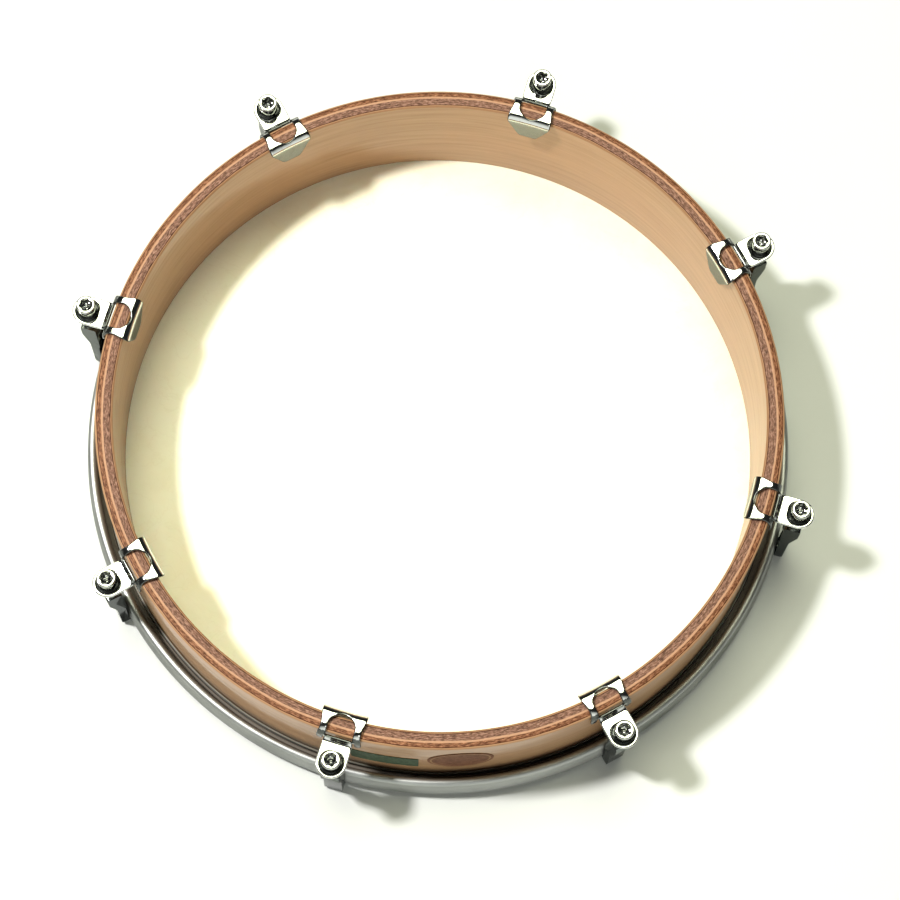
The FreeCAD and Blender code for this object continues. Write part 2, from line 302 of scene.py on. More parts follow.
# ---- node helpers --------------------------------------------------------------------------------
class Nodes:
    """Short calls for building one material's node tree."""

    def __init__(self, name):
        self.material = bpy.data.materials.new(name)
        self.material.use_nodes = True
        self.tree = self.material.node_tree
        self.surface = self.tree.nodes["Principled BSDF"]

    def add(self, kind, inputs=(), **settings):
        node = self.tree.nodes.new(kind)
        for key, value in settings.items():
            setattr(node, key, value)
        for key, value in dict(inputs).items():
            self.feed(node.inputs[key], value)
        return node

    def feed(self, socket, value):
        if isinstance(value, bpy.types.NodeSocket):
            self.tree.links.new(value, socket)
        else:
            socket.default_value = value

    def math(self, operation, a, b=0.0, c=0.0):
        node = self.add("ShaderNodeMath", {0: a, 1: b, 2: c}, operation=operation)
        return node.outputs[0]

    def noise(self, vector, scale, detail=3.0, roughness=0.5, distortion=0.0):
        inputs = {"Vector": vector, "Scale": scale, "Detail": detail, "Roughness": roughness,
                  "Distortion": distortion}
        return self.add("ShaderNodeTexNoise", inputs).outputs["Fac"]

    def ramp(self, value, stops):
        node = self.add("ShaderNodeValToRGB", {"Fac": value})
        elements = node.color_ramp.elements
        for index, (place, colour) in enumerate(stops):
            stop = elements[index] if index < 2 else elements.new(place)
            stop.position = place
            stop.color = tone(colour)
        return node.outputs["Color"]

    def mix(self, share, a, b, blend="MIX"):
        node = self.add("ShaderNodeMix", data_type="RGBA", blend_type=blend)
        self.feed(node.inputs["Factor"], share)
        self.feed(node.inputs["A"], tone(a))
        self.feed(node.inputs["B"], tone(b))
        return node.outputs["Result"]

    def spread(self, value, low, high, new_low, new_high):
        inputs = {"Value": value, "From Min": low, "From Max": high,
                  "To Min": new_low, "To Max": new_high}
        return self.add("ShaderNodeMapRange", inputs).outputs["Result"]

    def ring_vector(self, along, across, up):
        """Texture place that runs round the drum: each number is how many millimetres one unit is."""
        x, y, z = self.place_mm()
        turn = self.math("ARCTAN2", y, x)
        vector = self.add("ShaderNodeCombineXYZ", {
            "X": self.math("MULTIPLY", turn, SHELL_R / along),
            "Y": self.math("DIVIDE", self.radius(), across),
            "Z": self.math("DIVIDE", z, up),
        })
        return vector.outputs[0]

    def place_mm(self):
        where = self.add("ShaderNodeTexCoord").outputs["Object"]
        apart = self.add("ShaderNodeSeparateXYZ", {0: where})
        return [self.math("MULTIPLY", apart.outputs[k], 1 / MM) for k in range(3)]

    def radius(self):
        x, y, _ = self.place_mm()
        squares = self.math("ADD", self.math("MULTIPLY", x, x), self.math("MULTIPLY", y, y))
        return self.math("SQRT", squares)

    def plain_vector(self, size):
        """Texture place in the row frame, with one unit of so many millimetres."""
        where = self.add("ShaderNodeTexCoord").outputs["Object"]
        return self.add("ShaderNodeVectorMath", {0: where, "Scale": 1 / (MM * size)},
                        operation="SCALE").outputs["Vector"]

    def bump(self, height, depth_mm, under=None):
        inputs = {"Height": height, "Distance": depth_mm * MM, "Strength": 1.0}
        if under is not None:
            inputs["Normal"] = under
        return self.add("ShaderNodeBump", inputs).outputs["Normal"]

    def finish(self, **inputs):
        for key, value in inputs.items():
            socket = self.surface.inputs[key.replace("_", " ")]
            self.feed(socket, tone(value) if isinstance(value, tuple) else value)
        return self.material


def tone(colour):
    """Colour with an alpha of one; a socket is passed on."""
    return (*colour, 1.0) if isinstance(colour, tuple) and len(colour) == 3 else colour


# ---- materials -----------------------------------------------------------------------------------
DARK, CLEAR = (0, 0, 0), (1, 1, 1)


def shell_material():
    """Laminated wood under gloss lacquer: the ply that shows depends on the radius alone."""
    n = Nodes("lacquered_plywood")
    wander = n.noise(n.ring_vector(14, 4, 4), 1.0, 3)
    depth = n.math("SUBTRACT", n.radius(), SHELL_INNER_R)
    depth = n.math("ADD", depth, n.spread(wander, 0.3, 0.7, -0.14, 0.14))
    share = n.math("DIVIDE", depth, WALL)

    streak = n.noise(n.ring_vector(2.2, 0.55, 0.55), 1.0, 4, 0.65)
    fleck = n.noise(n.ring_vector(1.1, 0.5, 0.5), 1.0, 2, 0.5)
    inner_core = n.ramp(streak, [(0.32, (0.036, 0.016, 0.010)), (0.5, (0.150, 0.070, 0.045)),
                                 (0.70, (0.340, 0.190, 0.135))])
    outer_core = n.ramp(streak, [(0.32, (0.036, 0.011, 0.004)), (0.5, (0.145, 0.056, 0.026)),
                                 (0.70, (0.360, 0.165, 0.085))])
    flecks = n.spread(fleck, 0.62, 0.74, 0.0, 0.4)
    inner_core = n.mix(flecks, inner_core, (0.34, 0.21, 0.15))
    outer_core = n.mix(flecks, outer_core, (0.42, 0.19, 0.095))

    figure = n.noise(n.ring_vector(55, 6, 2.4), 1.0, 5, 0.6)
    cloud = n.noise(n.ring_vector(45, 40, 22), 1.0, 3)
    veneer = n.ramp(figure, [(0.25, (0.315, 0.175, 0.088)), (0.75, (0.455, 0.272, 0.145))])
    veneer = n.mix(n.spread(cloud, 0.35, 0.7, 0.0, 0.4), veneer, (0.46, 0.26, 0.14))
    tick = n.noise(n.ring_vector(3.2, 0.8, 0.45), 1.0, 2)
    veneer = n.mix(n.spread(tick, 0.66, 0.78, 0.0, 0.45), veneer, (0.30, 0.155, 0.075))

    bands = n.ramp(share, [(0.040, CLEAR), (0.048, DARK), (0.056, DARK), (0.066, CLEAR), (0.102, CLEAR),
                           (0.115, DARK), (0.145, DARK), (0.165, CLEAR), (0.845, CLEAR), (0.862, DARK),
                           (0.885, DARK), (0.900, CLEAR)])
    glue = n.mix(bands, (0.30, 0.14, 0.07), CLEAR)
    centre = n.ramp(share, [(0.515, DARK), (0.535, CLEAR), (0.625, CLEAR), (0.650, DARK)])
    core_side = n.ramp(share, [(0.56, DARK), (0.60, CLEAR)])
    core = n.mix(core_side, inner_core, outer_core)
    core = n.mix(n.math("MULTIPLY", centre, 0.7), core, (0.48, 0.27, 0.16))
    is_veneer = n.ramp(share, [(0.102, CLEAR), (0.115, DARK), (0.890, DARK), (0.900, CLEAR)])
    colour = n.mix(is_veneer, core, veneer)
    colour = n.mix(1.0, colour, glue, "MULTIPLY")

    normal = n.add("ShaderNodeNewGeometry").outputs["Normal"]
    up = n.add("ShaderNodeSeparateXYZ", {0: normal}).outputs["Z"]
    # Painted shade: the inner eased corner of the free edge is darkened where it faces up.
    inner_part = n.spread(share, 0.10, 0.13, 1.0, 0.0)
    corner = n.math("MULTIPLY", n.spread(up, 0.12, 0.35, 0.0, 1.0), inner_part)
    colour = n.mix(n.math("MULTIPLY", corner, 0.5), colour, (0.20, 0.095, 0.045))
    # Painted shade: the outer eased corner of the free edge is darkened where it faces up.
    rim = n.math("MULTIPLY", n.spread(up, 0.2, 0.6, 0.0, 0.35), n.spread(share, 0.88, 0.90, 0.0, 1.0))
    colour = n.mix(rim, colour, (0.16, 0.07, 0.035))
    gloss = n.spread(up, 0.15, 0.5, 0.50, 0.02)

    pores = n.bump(streak, 0.05)
    ripple = n.noise(n.ring_vector(16, 8, 9), 1.0, 2)
    lacquer = n.bump(ripple, 0.10)
    return n.finish(Base_Color=colour, Roughness=0.55, Specular_IOR_Level=0.10, Normal=pores,
                    Coat_Weight=gloss, Coat_Roughness=n.spread(wander, 0.3, 0.7, 0.06, 0.14),
                    Coat_Normal=lacquer)


def skin_material():
    """Natural hide: cream, with soft clouds, pores and faint veins. The collar is darker where the hoop
    shades it."""
    n = Nodes("rawhide")
    cloud = n.noise(n.plain_vector(60), 1.0, 5, 0.6, 0.6)
    fibre = n.noise(n.plain_vector(2.0), 1.0, 4, 0.6, 0.8)
    vein = n.noise(n.plain_vector(34), 1.0, 6, 0.55, 1.6)
    base = n.ramp(cloud, [(0.3, (0.86, 0.79, 0.59)), (0.55, (0.92, 0.87, 0.69)),
                          (0.8, (0.94, 0.90, 0.74))])
    line = n.math("ABSOLUTE", n.math("SUBTRACT", vein, 0.5))
    base = n.mix(n.spread(line, 0.0, 0.012, 0.10, 0.0), base, (0.62, 0.50, 0.31))
    base = n.mix(n.spread(fibre, 0.6, 0.8, 0.0, 0.18), base, (0.76, 0.66, 0.45))
    edge = n.spread(n.radius(), SHELL_INNER_R + 2, SHELL_R, 0.0, 0.6)
    base = n.mix(edge, base, (0.66, 0.54, 0.34))
    _, _, z = n.place_mm()
    base = n.mix(n.spread(z, 4.0, 7.0, 0.0, 1.0), base, (0.17, 0.155, 0.12))
    grain = n.bump(fibre, 0.04, n.bump(cloud, 0.5))
    return n.finish(Base_Color=base, Roughness=0.5, Normal=grain, Subsurface_Weight=0.12,
                    Subsurface_Scale=2 * MM, Sheen_Weight=0.1)


def hoop_material():
    """Satin steel with fine polishing lines round the hoop."""
    n = Nodes("satin_steel")
    lines = n.noise(n.ring_vector(30, 0.16, 0.16), 1.0, 3, 0.6)
    stain = n.noise(n.ring_vector(22, 14, 8), 1.0, 4)
    colour = n.ramp(stain, [(0.3, (0.32, 0.33, 0.325)), (0.7, (0.42, 0.43, 0.42))])
    rough = n.math("ADD", n.spread(stain, 0.3, 0.7, 0.40, 0.46), n.spread(lines, 0.3, 0.7, 0.0, 0.10))
    return n.finish(Base_Color=colour, Metallic=1.0, Roughness=rough, Specular_Tint=(0.4, 0.4, 0.4),
                    Normal=n.bump(lines, 0.012))


def chrome_material(name, colour, rough, edge_tint=1.0):
    """Plating with soft waves and small handling marks. A low edge_tint dims it at grazing angles."""
    n = Nodes(name)
    wave = n.noise(n.plain_vector(5.5), 1.0, 2)
    smear = n.noise(n.plain_vector(3.0), 1.0, 5, 0.65, 0.5)
    worn = n.spread(smear, 0.5, 0.75, 0.0, 1.0)
    return n.finish(Base_Color=n.mix(worn, colour, tuple(0.86 * c for c in colour)), Metallic=1.0,
                    Roughness=n.math("ADD", rough, n.math("MULTIPLY", worn, 0.10)),
                    Specular_Tint=(edge_tint, edge_tint, edge_tint), Normal=n.bump(wave, 0.06))


def flesh_hoop_material():
    """Plain dark wood, end to end round the ring."""
    n = Nodes("plain_wood")
    grain = n.noise(n.ring_vector(30, 0.7, 0.7), 1.0, 4)
    colour = n.ramp(grain, [(0.3, (0.07, 0.055, 0.04)), (0.7, (0.12, 0.095, 0.07))])
    return n.finish(Base_Color=colour, Roughness=0.6, Normal=n.bump(grain, 0.08))


def badge_material():
    """Brown burl-patterned foil with a thin paler ring and no mark on it."""
    n = Nodes("brown_badge")
    x, y, z = n.place_mm()
    middle = (badge_low + badge_high) / 2
    side = n.math("SUBTRACT", x, middle.x)
    rise = n.math("SUBTRACT", z, middle.z)
    away = n.math("SQRT", n.math("ADD", n.math("MULTIPLY", side, side), n.math("MULTIPLY", rise, rise)))
    radius = (badge_high.z - badge_low.z) / 2
    share = n.math("DIVIDE", away, radius)
    burl = n.noise(n.plain_vector(2.6), 1.0, 5, 0.65, 1.2)
    brown = n.ramp(burl, [(0.3, (0.080, 0.030, 0.016)), (0.7, (0.210, 0.095, 0.050))])
    ring = n.ramp(share, [(0.86, DARK), (0.875, CLEAR), (0.90, CLEAR), (0.915, DARK)])
    colour = n.mix(ring, brown, (0.30, 0.17, 0.08))
    return n.finish(Base_Color=colour, Roughness=0.5, Specular_IOR_Level=0.03)


def label_material():
    """Dark green mottled foil with nothing on it."""
    n = Nodes("green_label")
    mottle = n.noise(n.plain_vector(1.6), 1.0, 3)
    colour = n.ramp(mottle, [(0.3, (0.030, 0.048, 0.028)), (0.7, (0.075, 0.105, 0.066))])
    return n.finish(Base_Color=colour, Roughness=0.5, Specular_IOR_Level=0.04)


# ---- shell, skin and hoops -----------------------------------------------------------------------
def build_shell(material):
    """Wood ring with eased corners, a slightly crowned free edge and a rounded bearing edge."""
    ease, crown, flat_half, crown_round, foot_ease = 0.9, 0.22, 1.2, 6.0, 0.5
    middle = SHELL_R - WALL / 2
    outline = rounded([
        (SHELL_INNER_R, SKIN, foot_ease),
        (SHELL_R, SKIN, BEARING_ROUND),
        (SHELL_R, EDGE_Z - crown, ease),
        (middle + flat_half, EDGE_Z, crown_round),
        (middle - flat_half, EDGE_Z, crown_round),
        (SHELL_INNER_R, EDGE_Z - crown, ease),
    ], 6)
    shell = revolve("drum_shell", outline)
    shell.data.materials.append(material)
    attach(shell, "root")
    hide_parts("shell")


def build_skin(material):
    """Skin: flat face, turn over the bearing edge, and a collar between the shell and the hoops. The top
    edge of the collar is slightly ragged."""
    face_rings = even(6, SHELL_R - WALL, 6)
    inner, outer = SHELL_R + SKIN_GAP, SHELL_R + SKIN_GAP + SKIN
    turn_z, lip_z = BEARING_ROUND + SKIN, SKIRT_TOP_Z - SKIN / 2
    collar_low, collar_step = turn_z + 1.5, 1.4
    under = [(r, 0) for r in face_rings] + arc((outer - turn_z, turn_z), turn_z, -90, 0, 7)
    under += [(outer, z) for z in even(collar_low, lip_z, collar_step)]
    over = [(inner, z) for z in even(lip_z, collar_low, collar_step)]
    over += arc((inner - BEARING_ROUND, turn_z), BEARING_ROUND, 0, -90, 7)
    over += [(r, SKIN) for r in face_rings[::-1]]
    lip = arc(((inner + outer) / 2, lip_z), SKIN / 2, 0, 180, 5)
    rows = under + lip[1:-1] + over
    steps = 288
    ragged_from = HOOP_BOTTOM_Z + 5
    points, faces = [(0, 0, 0), (0, 0, SKIN)], []
    for k in range(steps):
        angle = TURN * k / steps
        ragged = 0.5 * math.sin(9 * angle + 1) * math.sin(23 * angle) + 0.25 * math.sin(61 * angle)
        for r, z in rows:
            share = max(0.0, (z - ragged_from) / (SKIRT_TOP_Z - ragged_from))
            points.append((r * math.cos(angle), r * math.sin(angle), z - share * 0.5 * (1 + ragged)))
    count = len(rows)
    for k in range(steps):
        here, there = 2 + k * count, 2 + (k + 1) % steps * count
        faces += [(here + i, here + i + 1, there + i + 1, there + i) for i in range(count - 1)]
        faces += [(0, here, there), (1, there + count - 1, here + count - 1)]
    skin = make_object("skin_head", points, faces)
    skin.data.materials.append(material)
    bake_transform(skin)
    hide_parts("head_membrane")


def build_hoop(material):
    """Steel hoop: an inward flange, a wall that leans in and is pinched under the bead, and the bead."""
    steel, bead, bead_r, flange, bend = 1.3, 2.0, HOOP_R - 1.1, 6.9, 2.9
    bead_x, bead_z = bead_r - bead, HOOP_TOP_Z - bead
    low = HOOP_BOTTOM_Z
    outline = [(HOOP_R - flange, low + 0.3), (HOOP_R - flange + 0.3, low)]
    outline += arc((HOOP_R - bend, low + bend), bend, -90, 0, 12)
    outline += [(HOOP_R - 0.12, low + 4.6), (HOOP_R - 0.45, low + 6.6), (HOOP_R - 0.95, low + 8.6),
                (HOOP_R - 1.4, low + 10.1)]
    outline += arc((HOOP_R - 1.2, low + 11.3), 0.5, 200, 150, 3)
    outline += arc((bead_x, bead_z), bead, -18, 180, 26)
    outline += arc((bead_x - bead + steel / 2, bead_z - 1.35), steel / 2, 180, 360, 6)
    outline += arc((bead_x, bead_z), bead - steel, 180, 0, 10)
    outline += [(bead_r - steel - 0.4, bead_z - 2.6), (HOOP_R - steel - 0.5, low + 6.2)]
    outline += arc((HOOP_R - bend, low + bend), bend - steel, 0, -90, 6)
    outline += [(HOOP_R - flange + 0.3, low + steel), (HOOP_R - flange, low + steel - 0.3)]
    hoop = revolve("counter_hoop", outline)
    hoop.data.materials.append(material)
    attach(hoop, "hoop")
    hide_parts("tension_hoop")


# ---- one bracket set -----------------------------------------------------------------------------
INNER_BEND = 2.6
OUTER_BEND = 4.0
TONGUE = 13.5
EAR = 7.4
INNER_FACE = SHELL_INNER_R - 1.9
OUTER_FACE = SHELL_R + 0.8
UNDER_CROWN = bracket_high.z - BRACKET_STEEL

INNER_LEG = TONGUE + UNDER_CROWN - EDGE_Z - INNER_BEND
INNER_ARC = INNER_BEND * math.pi / 2
OUTER_ARC = OUTER_BEND * math.pi / 2
S_CROWN = INNER_LEG + INNER_ARC
S_OUTER_BEND = S_CROWN + OUTER_FACE - OUTER_BEND - INNER_FACE - INNER_BEND
S_LEG = S_OUTER_BEND + OUTER_ARC
S_END = S_LEG + EAR + UNDER_CROWN - OUTER_BEND - EDGE_Z
TAB_INNER_BEND = 1.7
TAB_ARC = (BRACKET_STEEL + TAB_INNER_BEND) * math.pi / 2
TAB_BEND_Z = TAB_TOP_Z + TAB_INNER_BEND
TAB_DROP = UNDER_CROWN - OUTER_BEND - TAB_BEND_Z
S_TAB_BEND = S_LEG + TAB_DROP
S_TAB = S_TAB_BEND + TAB_ARC
TAB_START_X = OUTER_FACE + BRACKET_STEEL + TAB_INNER_BEND
S_SCREW = S_TAB + SCREW_R - TAB_START_X
TAB_HALF = 6.7


def clip_path(s):
    """Radius, height and tilt of the shell-side surface of the bracket, by developed length."""
    if s < INNER_LEG:
        return INNER_FACE, EDGE_Z - TONGUE + s, 180
    if s < S_CROWN:
        tilt = 180 - 90 * (s - INNER_LEG) / INNER_ARC
        angle = math.radians(tilt)
        return (INNER_FACE + INNER_BEND + INNER_BEND * math.cos(angle),
                UNDER_CROWN - INNER_BEND + INNER_BEND * math.sin(angle), tilt)
    if s < S_OUTER_BEND:
        return INNER_FACE + INNER_BEND + s - S_CROWN, UNDER_CROWN, 90
    if s < S_LEG:
        tilt = 90 - 90 * (s - S_OUTER_BEND) / OUTER_ARC
        angle = math.radians(tilt)
        return (OUTER_FACE - OUTER_BEND + OUTER_BEND * math.cos(angle),
                UNDER_CROWN - OUTER_BEND + OUTER_BEND * math.sin(angle), tilt)
    return OUTER_FACE, UNDER_CROWN - OUTER_BEND - (s - S_LEG), 0


def tab_path(s):
    """The same for the strip that turns outwards into the screw tab."""
    if s < S_TAB_BEND:
        return clip_path(s)
    reach = BRACKET_STEEL + TAB_INNER_BEND
    start = clip_path(S_TAB_BEND)
    if s < S_TAB:
        tilt = 90 * (s - S_TAB_BEND) / TAB_ARC
        angle = math.radians(tilt)
        share = tilt / 90
        tilt = start[2] + (90 - start[2]) * share
        x = TAB_START_X - reach * math.cos(angle)
        return x + (start[0] - OUTER_FACE) * (1 - share), TAB_BEND_Z - reach * math.sin(angle), tilt
    return TAB_START_X + s - S_TAB, TAB_TOP_Z - BRACKET_STEEL, 90


def dish(x, y):
    """How far the seat round the screw is pressed down at a place on the tab."""
    seat_r, root, wall, corner = 5.7, 5.5, 1.35, 4.6
    if x > SCREW_R:
        within = seat_r - math.hypot(x - SCREW_R, y)
    else:
        past_side = abs(y) - (seat_r - corner)
        past_root = (SCREW_R - root + corner) - x
        if past_side > 0 and past_root > 0:
            within = corner - math.hypot(past_side, past_root)
        else:
            within = corner - max(past_side, past_root)
    share = min(1.0, max(0.0, within / wall))
    return DISH_DEPTH * share * share * (3 - 2 * share)


def place_bracket(s, w, t):
    """Bends the flat blank of the bracket round the edge of the shell."""
    on_tab = abs(w) < TAB_HALF + 0.15
    r, z, tilt = tab_path(s) if on_tab else clip_path(s)
    angle = math.radians(tilt)
    r += t * math.cos(angle)
    z += t * math.sin(angle)
    if on_tab and s > S_TAB:
        z -= dish(r, w)
    return (math.sqrt(r * r - w * w) if s < S_TAB_BEND else r - w * w / (2 * OUTER_FACE), w, z)


def bracket_outline():
    """Outer outline of the blank: tongue, two straps, two ears and the tab between them."""
    waist, taper, tip_half = 0.9, INNER_LEG + 0.3 * INNER_ARC, 4.2
    tongue = rounded([(taper + 1, -BRACKET_HALF, 0), (taper, -BRACKET_HALF, 4), (0, -tip_half, 2.4),
                      (0, tip_half, 2.4), (taper, BRACKET_HALF, 4), (taper + 1, BRACKET_HALF, 0)])
    crown = even(taper + 1.2, S_LEG + 1, 0.8)
    length = crown[-1] - crown[0]
    side = [(s, BRACKET_HALF - waist * math.sin(math.pi * (s - crown[0]) / length) ** 2) for s in crown]
    slit_s, slit_low, slit_high = S_TAB_BEND + 1.2, TAB_HALF - 0.35, TAB_HALF + 0.35
    ear = rounded([(S_LEG + 1.2, BRACKET_HALF, 0), (S_END, BRACKET_HALF, 1.6), (S_END, slit_high, 1.2),
                   (slit_s, slit_high, 0.3), (slit_s, slit_low, 0.3), (slit_s + 1.0, slit_low, 0)], 4)[1:]
    flare = [(slit_s + 1 + k * (S_TAB + 3 - slit_s) / 6, slit_low + 0.35 * math.sin(math.pi / 2 * k / 6))
             for k in range(1, 7)]
    tip = arc((S_SCREW, 0), TAB_HALF, 90, -90, 30)
    half = side + ear + flare
    lower = [(s, -w) for s, w in half]
    clockwise = tongue + half + tip + lower[::-1]
    return clockwise[::-1]


def bracket_window():
    """Window through the crown: round at its inner end and square at the root of the tab."""
    inner_end, round_s, outer_end = INNER_LEG + 0.7 * INNER_ARC, S_CROWN + 3.8, S_TAB_BEND + 0.1
    half, corner = 5.9, 0.8
    upper = [(round_s - (round_s - inner_end) * math.sin(a), half * math.cos(a) ** 1.1)
             for a in (math.radians(d) for d in even(86, 0, 7))]
    upper += [(s, half) for s in even(round_s, outer_end - corner, 0.8)[1:]]
    upper += [(outer_end - corner + corner * math.sin(a), half - corner + corner * math.cos(a))
              for a in (math.radians(d) for d in even(18, 90, 18))]
    return upper + [(s, -w) for s, w in upper][::-1]


def bracket_shade_copy_index(s, w, cut_edge):
    """Which of the bracket's three copies of one plating a place on the blank gets: 0 the bright one, 1 a
    dimmer one as a painted dull reflection on the tongue, 2 a dark one as painted shade on the cut edges,
    the strap legs and the dished seat.
    """
    # Painted shade: the cut edges, the strap legs and the dished seat get the dark copy of the plating,
    # and the tongue gets the dull copy.
    on_strap_leg = S_OUTER_BEND + 0.45 * OUTER_ARC < s < S_END and abs(w) > TAB_HALF
    in_dish = math.hypot(s - S_SCREW, w) < 5.4
    if (cut_edge and INNER_LEG < s < S_TAB - 1) or on_strap_leg or in_dish:
        return 2
    return 1 if s < INNER_LEG + 0.2 * INNER_ARC else 0


def build_brackets(*plating_and_painted_shades):
    """Clips over the free edge. The platings are the bright one and two darker copies of it, dull and
    dark, used as painted shade.
    """
    seat_rings = (2.9, 3.6, 4.2, 4.45, 4.65, 4.85, 5.05, 5.25, 5.45, 5.65, 5.85, 6.05)
    seat_root_rows = (6.3, 6.0, 5.8, 5.6, 5.4, 5.2, 5.0, 4.8, 4.6, 4.4, 4.2, 3.8)
    hole_r, cut_edge = 2.6, 0.44
    hole = arc((S_SCREW, 0), hole_r, 360, 0, 32)[:-1]
    bends = even(INNER_LEG, S_CROWN, 0.18) + even(S_OUTER_BEND, S_LEG, 0.3) + even(S_LEG, S_TAB, 0.3)[1:]
    flats = even(1, INNER_LEG - 1, 1.5) + even(S_CROWN + 1, S_OUTER_BEND - 1, 1.5)
    flats += even(S_LEG + 1, S_END, 1.0)
    extra = grid(bends + flats, even(-BRACKET_HALF, BRACKET_HALF, 1.25))
    extra = [p for p in extra if p[0] <= S_TAB_BEND + TAB_ARC or abs(p[1]) > TAB_HALF]
    for reach in seat_rings:
        extra += [(s, w) for s, w in arc((S_SCREW, 0), reach, -90, 90, 40)]
        extra += grid(even(S_SCREW - 6.4, S_SCREW - 0.3, 0.3), [reach, -reach])
    extra += grid([S_SCREW - d for d in seat_root_rows], even(-4.1, 4.1, 0.5))
    source = pressed_sheet("bracket", bracket_outline(), [bracket_window(), hole], BRACKET_STEEL,
                           cut_edge, extra, place_bracket, bracket_shade_copy_index)
    for finish in plating_and_painted_shades:
        source.data.materials.append(finish)
    names = [f"edge_bracket_{k + 1}" for k in range(len(SET_ANGLES))]
    for k, piece in enumerate(copies(source, names, SET_ANGLES)):
        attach(piece, "root")
        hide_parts(f"bracket_{k + 1}")


def build_screws(material):
    """Tension screws: a tall socket head on a threaded shank."""
    head_r, head_round, thread_r, pitch = 4.25, 0.62, 2.5, 0.8
    thread_depth, neck_r, seat_gap = 0.42, 2.12, 0.02
    head_top, head_bottom = screw_high.z, TAB_TOP_Z - DISH_DEPTH + seat_gap
    socket_depth, flat = 4.5, 2.5
    socket_floor = head_top - socket_depth
    steps = 72

    def hexagon(angle):
        """Radius of the socket at an angle."""
        return flat / math.cos((angle + math.pi / 6) % (math.pi / 3) - math.pi / 6)

    def thread(z):
        """Radius of the thread at a height, as a function of the angle."""
        def radius(angle):
            phase = (z / pitch - angle / TURN) % 1
            return thread_r - thread_depth * (1 - min(1.0, 2.6 * abs(phase - 0.5)))
        return radius

    rings = [(0.9, screw_low.z), (1.7, screw_low.z + 0.05), (2.05, screw_low.z + 0.45)]
    rings += [(thread(z), z) for z in even(screw_low.z + 0.8, head_bottom - 1.2, pitch / 7)]
    rings += [(neck_r, head_bottom - 1.0), (neck_r, head_bottom - 0.4)]
    rings += [(2.4, head_bottom - 0.05), (thread_r, head_bottom), (head_r - 0.35, head_bottom)]
    rings += [(head_r - 0.1, head_bottom + 0.1), (head_r, head_bottom + 0.35)]
    rings += [(head_r, z) for z in even(head_bottom + 1, head_top - 0.9, 1.2)]
    for a in (math.radians(d) for d in (0, 22, 45, 67, 90)):
        rings.append((head_r - head_round + head_round * math.cos(a),
                      head_top - head_round + head_round * math.sin(a)))
    rings += [(3.2, head_top), (3.05, head_top - 0.02)]
    rings += [(lambda a: hexagon(a) + 0.12, head_top - 0.10), (hexagon, head_top - 0.28)]
    rings += [(hexagon, z) for z in even(head_top - 1.2, socket_floor, 0.9)]
    rings += [(2.2, socket_floor - 0.1), (1.2, socket_floor - 0.7), (0.3, socket_floor - 1.2)]
    source = stack("screw", rings, steps, (SCREW_R, 0), 42)
    source.data.materials.append(material)
    names = [f"socket_screw_{k + 1}" for k in range(len(SET_ANGLES))]
    for k, piece in enumerate(copies(source, names, SET_ANGLES)):
        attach(piece, f"screw_{k + 1}")
        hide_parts(f"tension_screw_{k + 1}")


def prism(name, outline, half):
    """Side outline in the XZ plane, pushed out to both sides of the radial plane."""
    count = len(outline)
    points = [(x, -half, z) for x, z in outline] + [(x, half, z) for x, z in outline]
    faces = [tuple(range(count)), tuple(range(count, 2 * count))[::-1]]
    faces += [(k, (k + 1) % count, (k + 1) % count + count, k + count) for k in range(count)]
    return make_object(name, points, faces)


def cut(piece, tool):
    """Takes a tool's volume out of a piece and removes the tool."""
    modifier = piece.modifiers.new("cut", "BOOLEAN")
    modifier.operation = "DIFFERENCE"
    modifier.solver = "EXACT"
    modifier.object = tool
    apply_modifiers(piece)
    bpy.data.objects.remove(tool)


def build_claws(material):
    """Channel-shaped hooks with a threaded block at the top and a lip under the hoop."""
    inner, block_inner = HOOP_R + 0.35, SCREW_R - 3.45
    leg_outer = inner + 3.7
    block_outer = SCREW_R + 3.6
    top, bottom, joggle = claw_high.z, claw_low.z, HOOP_TOP_Z + 3.5
    lip_top = HOOP_BOTTOM_Z - 0.05
    lip_inner = HOOP_R - 5.0
    side = rounded([
        (block_inner, top, 0.8), (block_outer, top, 1.0), (block_outer, top - 9, 2.5),
        (leg_outer, top - 20, 12.0), (leg_outer, bottom, 1.8), (lip_inner, bottom, 0.5),
        (lip_inner, lip_top, 0.4), (inner, lip_top, 0.3), (inner, joggle, 1.0),
        (block_inner, joggle + 1.6, 1.0),
    ], 5)
    source = prism("claw", side, CLAW_HALF)
    steel = 1.4
    hollow = rounded([
        (inner - 3, lip_top + steel, 0), (leg_outer - steel, lip_top + steel, 1.0),
        (leg_outer - steel, top - 20, 3.0), (leg_outer - steel + 0.6, top - 10.5, 1.0),
        (inner - 3, top - 10.5, 0),
    ], 4)
    cut(source, prism("hollow", hollow, CLAW_HALF - steel))
    bore = [(2.55, z) for z in (top - 8, top - 0.6)] + [(3.1, top), (3.1, top + 2)]
    cut(source, stack("bore", bore, 40, (SCREW_R, 0)))
    bevel = source.modifiers.new("bevel", "BEVEL")
    bevel.width = 0.28 * MM
    bevel.segments = 3
    bevel.angle_limit = math.radians(38)
    apply_modifiers(source)
    source.data.shade_smooth()
    source.data.set_sharp_from_angle(angle=math.radians(35))
    source.data.materials.clear()
    source.data.materials.append(material)
    names = [f"hook_claw_{k + 1}" for k in range(len(SET_ANGLES))]
    for k, piece in enumerate(copies(source, names, SET_ANGLES)):
        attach(piece, "hoop")
        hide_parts(f"claw_{k + 1}")


